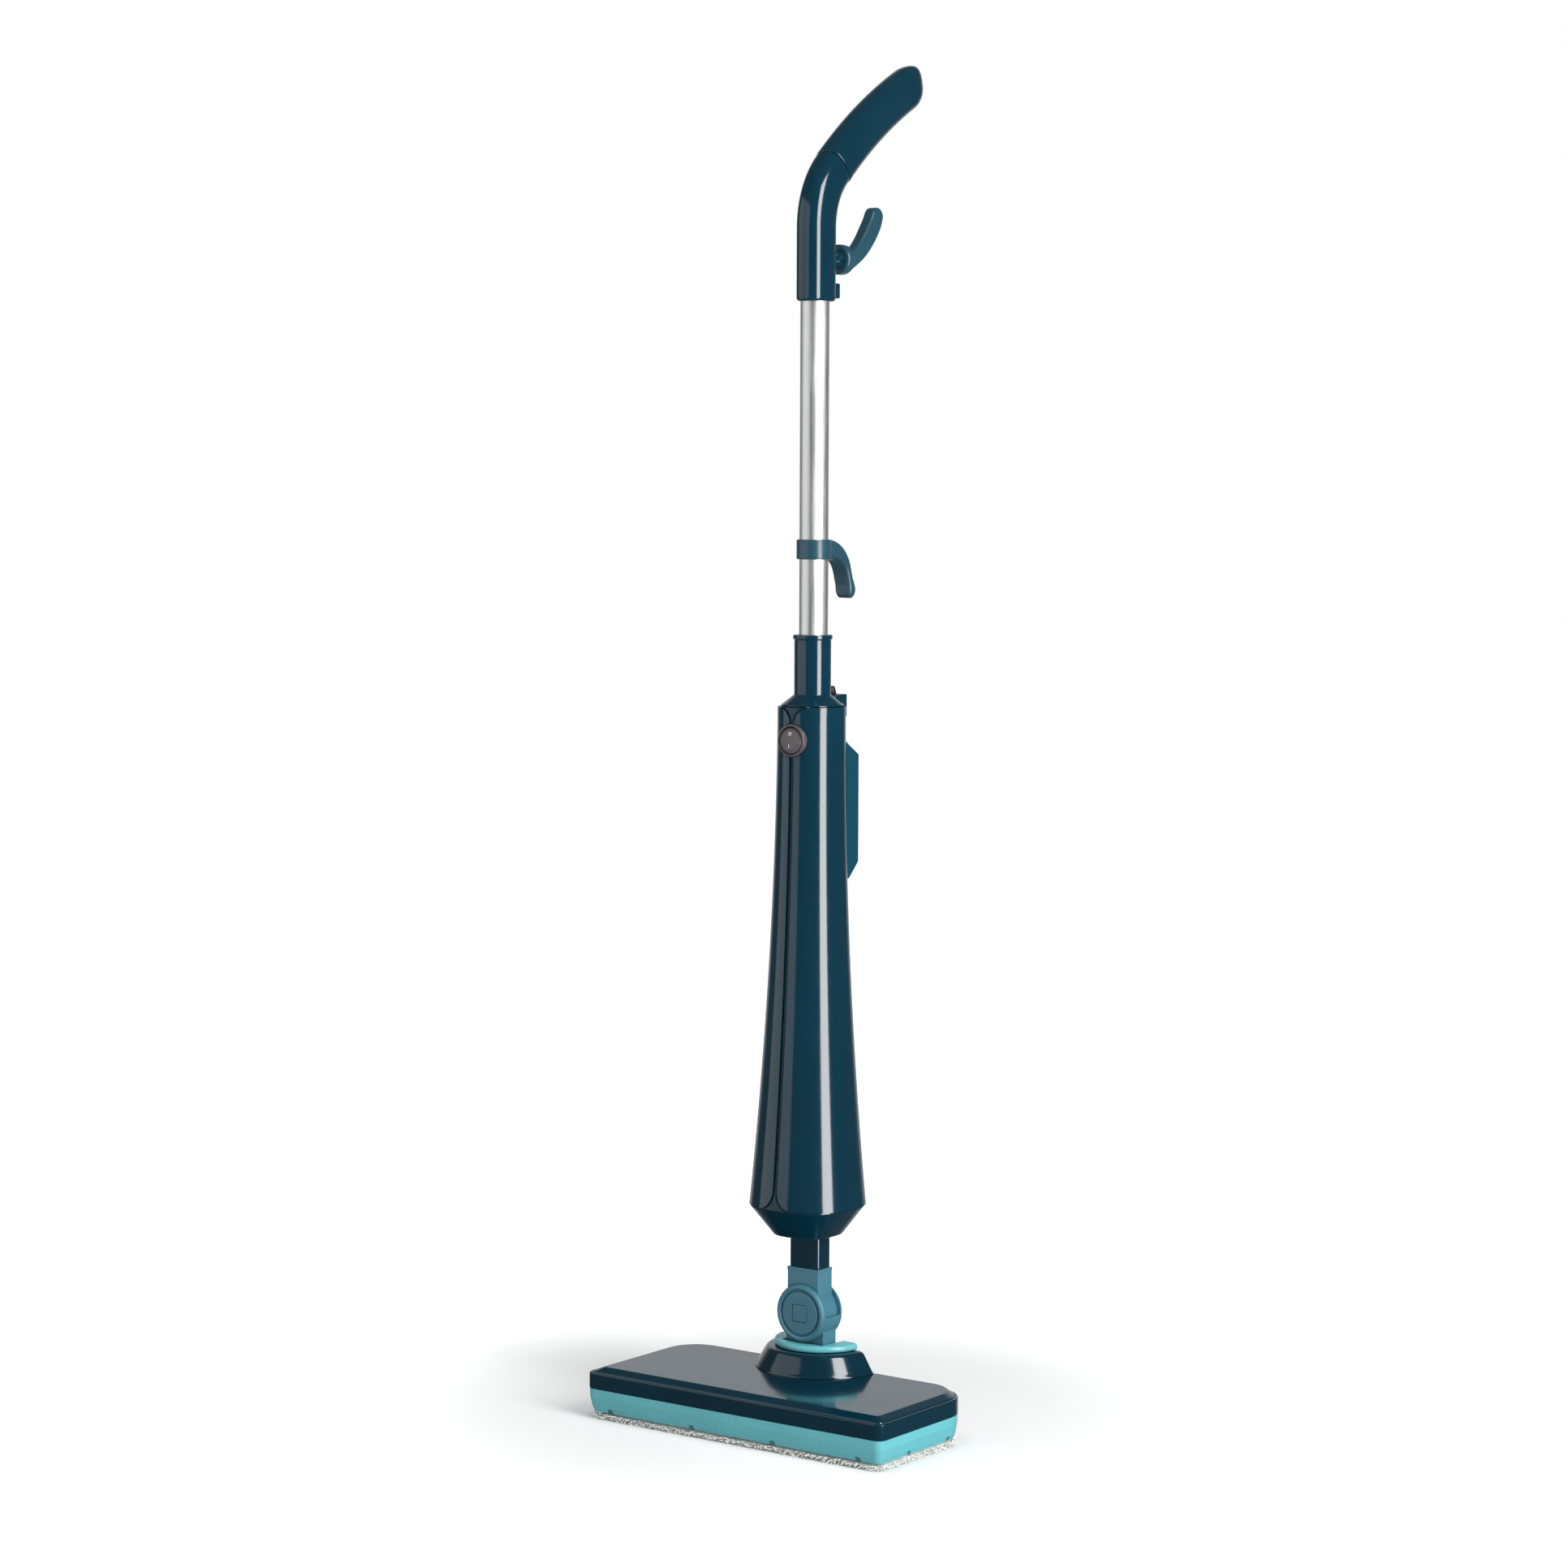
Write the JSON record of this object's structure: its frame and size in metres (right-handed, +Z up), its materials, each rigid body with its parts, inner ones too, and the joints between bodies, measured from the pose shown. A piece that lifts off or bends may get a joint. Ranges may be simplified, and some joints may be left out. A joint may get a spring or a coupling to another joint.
{
  "type": "steam mop",
  "caption": "Upright steam mop with a hinged rectangular foot, a tapered boiler body with a rear tank, a metal pole and a curved handle with cord hooks.",
  "frame": {"origin": "on the floor under the pole's axis, on the pad's underside", "axes": "+Z up along the pole, +X to the foot's right seen from the front, +Y to the rear, where the user stands"},
  "size_m": [0.315, 0.2716, 1.1828],
  "materials": {
    "deep_teal": "dark teal-blue moulded plastic, high gloss",
    "spine_teal": "dark teal-blue moulded plastic, fine satin grain",
    "mid_teal": "mid teal moulded plastic, satin",
    "turquoise": "light turquoise moulded plastic, semi-gloss",
    "black_plastic": "black moulded plastic, satin",
    "smoke_grey": "smoky grey plastic, gloss",
    "tinted_tank": "dark tinted plastic, gloss",
    "satin_aluminium": "satin drawn tube",
    "cast_aluminium": "die cast",
    "steel": "bright zinc-plated or drawn steel",
    "silicone": "grey silicone rubber",
    "hook_tape": "black hook tape",
    "fleece": "off-white looped microfibre"
  },
  "bodies": {
    "foot": {"foot_top_cover": "deep_teal", "foot_skirt": "turquoise", "microfibre_pad": "fleece", "loop_strip_front": "hook_tape", "loop_strip_rear": "hook_tape", "steam_manifold": "black_plastic", "foot_steam_tube": "silicone", "foot_screw_1": "steel", "foot_screw_2": "steel", "foot_screw_3": "steel", "foot_screw_4": "steel", "joint_dome": "deep_teal", "dome_cap_ring": "turquoise", "pitch_pin": "steel"},
    "yoke": {"lower_yoke": "mid_teal", "pivot_cover": "mid_teal", "pivot_plug": "mid_teal", "tilt_pin": "steel"},
    "upright": {"upper_yoke": "mid_teal", "lower_neck": "deep_teal", "bottom_cone": "deep_teal", "left_panel": "deep_teal", "right_panel": "deep_teal", "front_spine": "spine_teal", "rear_shell": "deep_teal", "neck_collar": "deep_teal", "cord_block": "deep_teal", "cord_gland": "black_plastic", "switch_bezel": "smoke_grey", "switch_case": "black_plastic", "tank_valve": "silicone", "boiler": "cast_aluminium", "heating_element": "steel", "thermostat": "steel", "thermal_fuse": "black_plastic", "water_pump": "black_plastic", "pump_coil": "steel", "inlet_hose": "silicone", "boiler_hose": "silicone", "steam_hose": "silicone", "terminal_block": "black_plastic", "chassis": "black_plastic", "pole": "satin_aluminium", "pole_screw": "steel", "lower_cord_hook": "mid_teal", "handle_left_shell": "deep_teal", "handle_right_shell": "deep_teal", "grip_cover": "deep_teal", "hook_boss": "deep_teal", "button_spring": "steel"},
    "rocker": {"switch_rocker": "smoke_grey"},
    "tank": {"water_tank": "tinted_tank", "cap_seal": "silicone"},
    "cap": {"tank_cap": "turquoise"},
    "hook": {"cord_hook": "mid_teal", "hook_screw": "steel"},
    "button": {"release_button": "deep_teal"}
  },
  "joints": [
    {"name": "foot_pitch", "type": "hinge", "parent": "foot", "child": "yoke", "pos_m": [0, 0, 0.0575], "axis": [-1, 0, 0], "range_deg": [0, 70]},
    {"name": "side_tilt", "type": "hinge", "parent": "yoke", "child": "upright", "pos_m": [0, 0, 0.096], "axis": [0, 1, 0], "range_deg": [-45, 45]},
    {"name": "switch_rock", "type": "hinge", "parent": "upright", "child": "rocker", "pos_m": [0, -0.0305, 0.5967], "axis": [1, 0, 0], "range_deg": [0, 16]},
    {"name": "tank_slide", "type": "slide", "parent": "upright", "child": "tank", "axis": [0, 1, 0], "range_m": [0, 0.045]},
    {"name": "cap_twist", "type": "hinge", "parent": "tank", "child": "cap", "pos_m": [0, 0.03, 0.58908], "axis": [0, 0.5241, 0.8517], "range_deg": [0, 90]},
    {"name": "hook_turn", "type": "hinge", "parent": "upright", "child": "hook", "pos_m": [0, 0.0317, 1.0085], "axis": [0, 1, 0], "range_deg": [0, 180]},
    {"name": "button_press", "type": "slide", "parent": "upright", "child": "button", "axis": [0, -1, 0], "range_m": [0, 0.0025], "stiffness_N_per_m": 400, "deforming": ["button_spring"]}
  ]
}
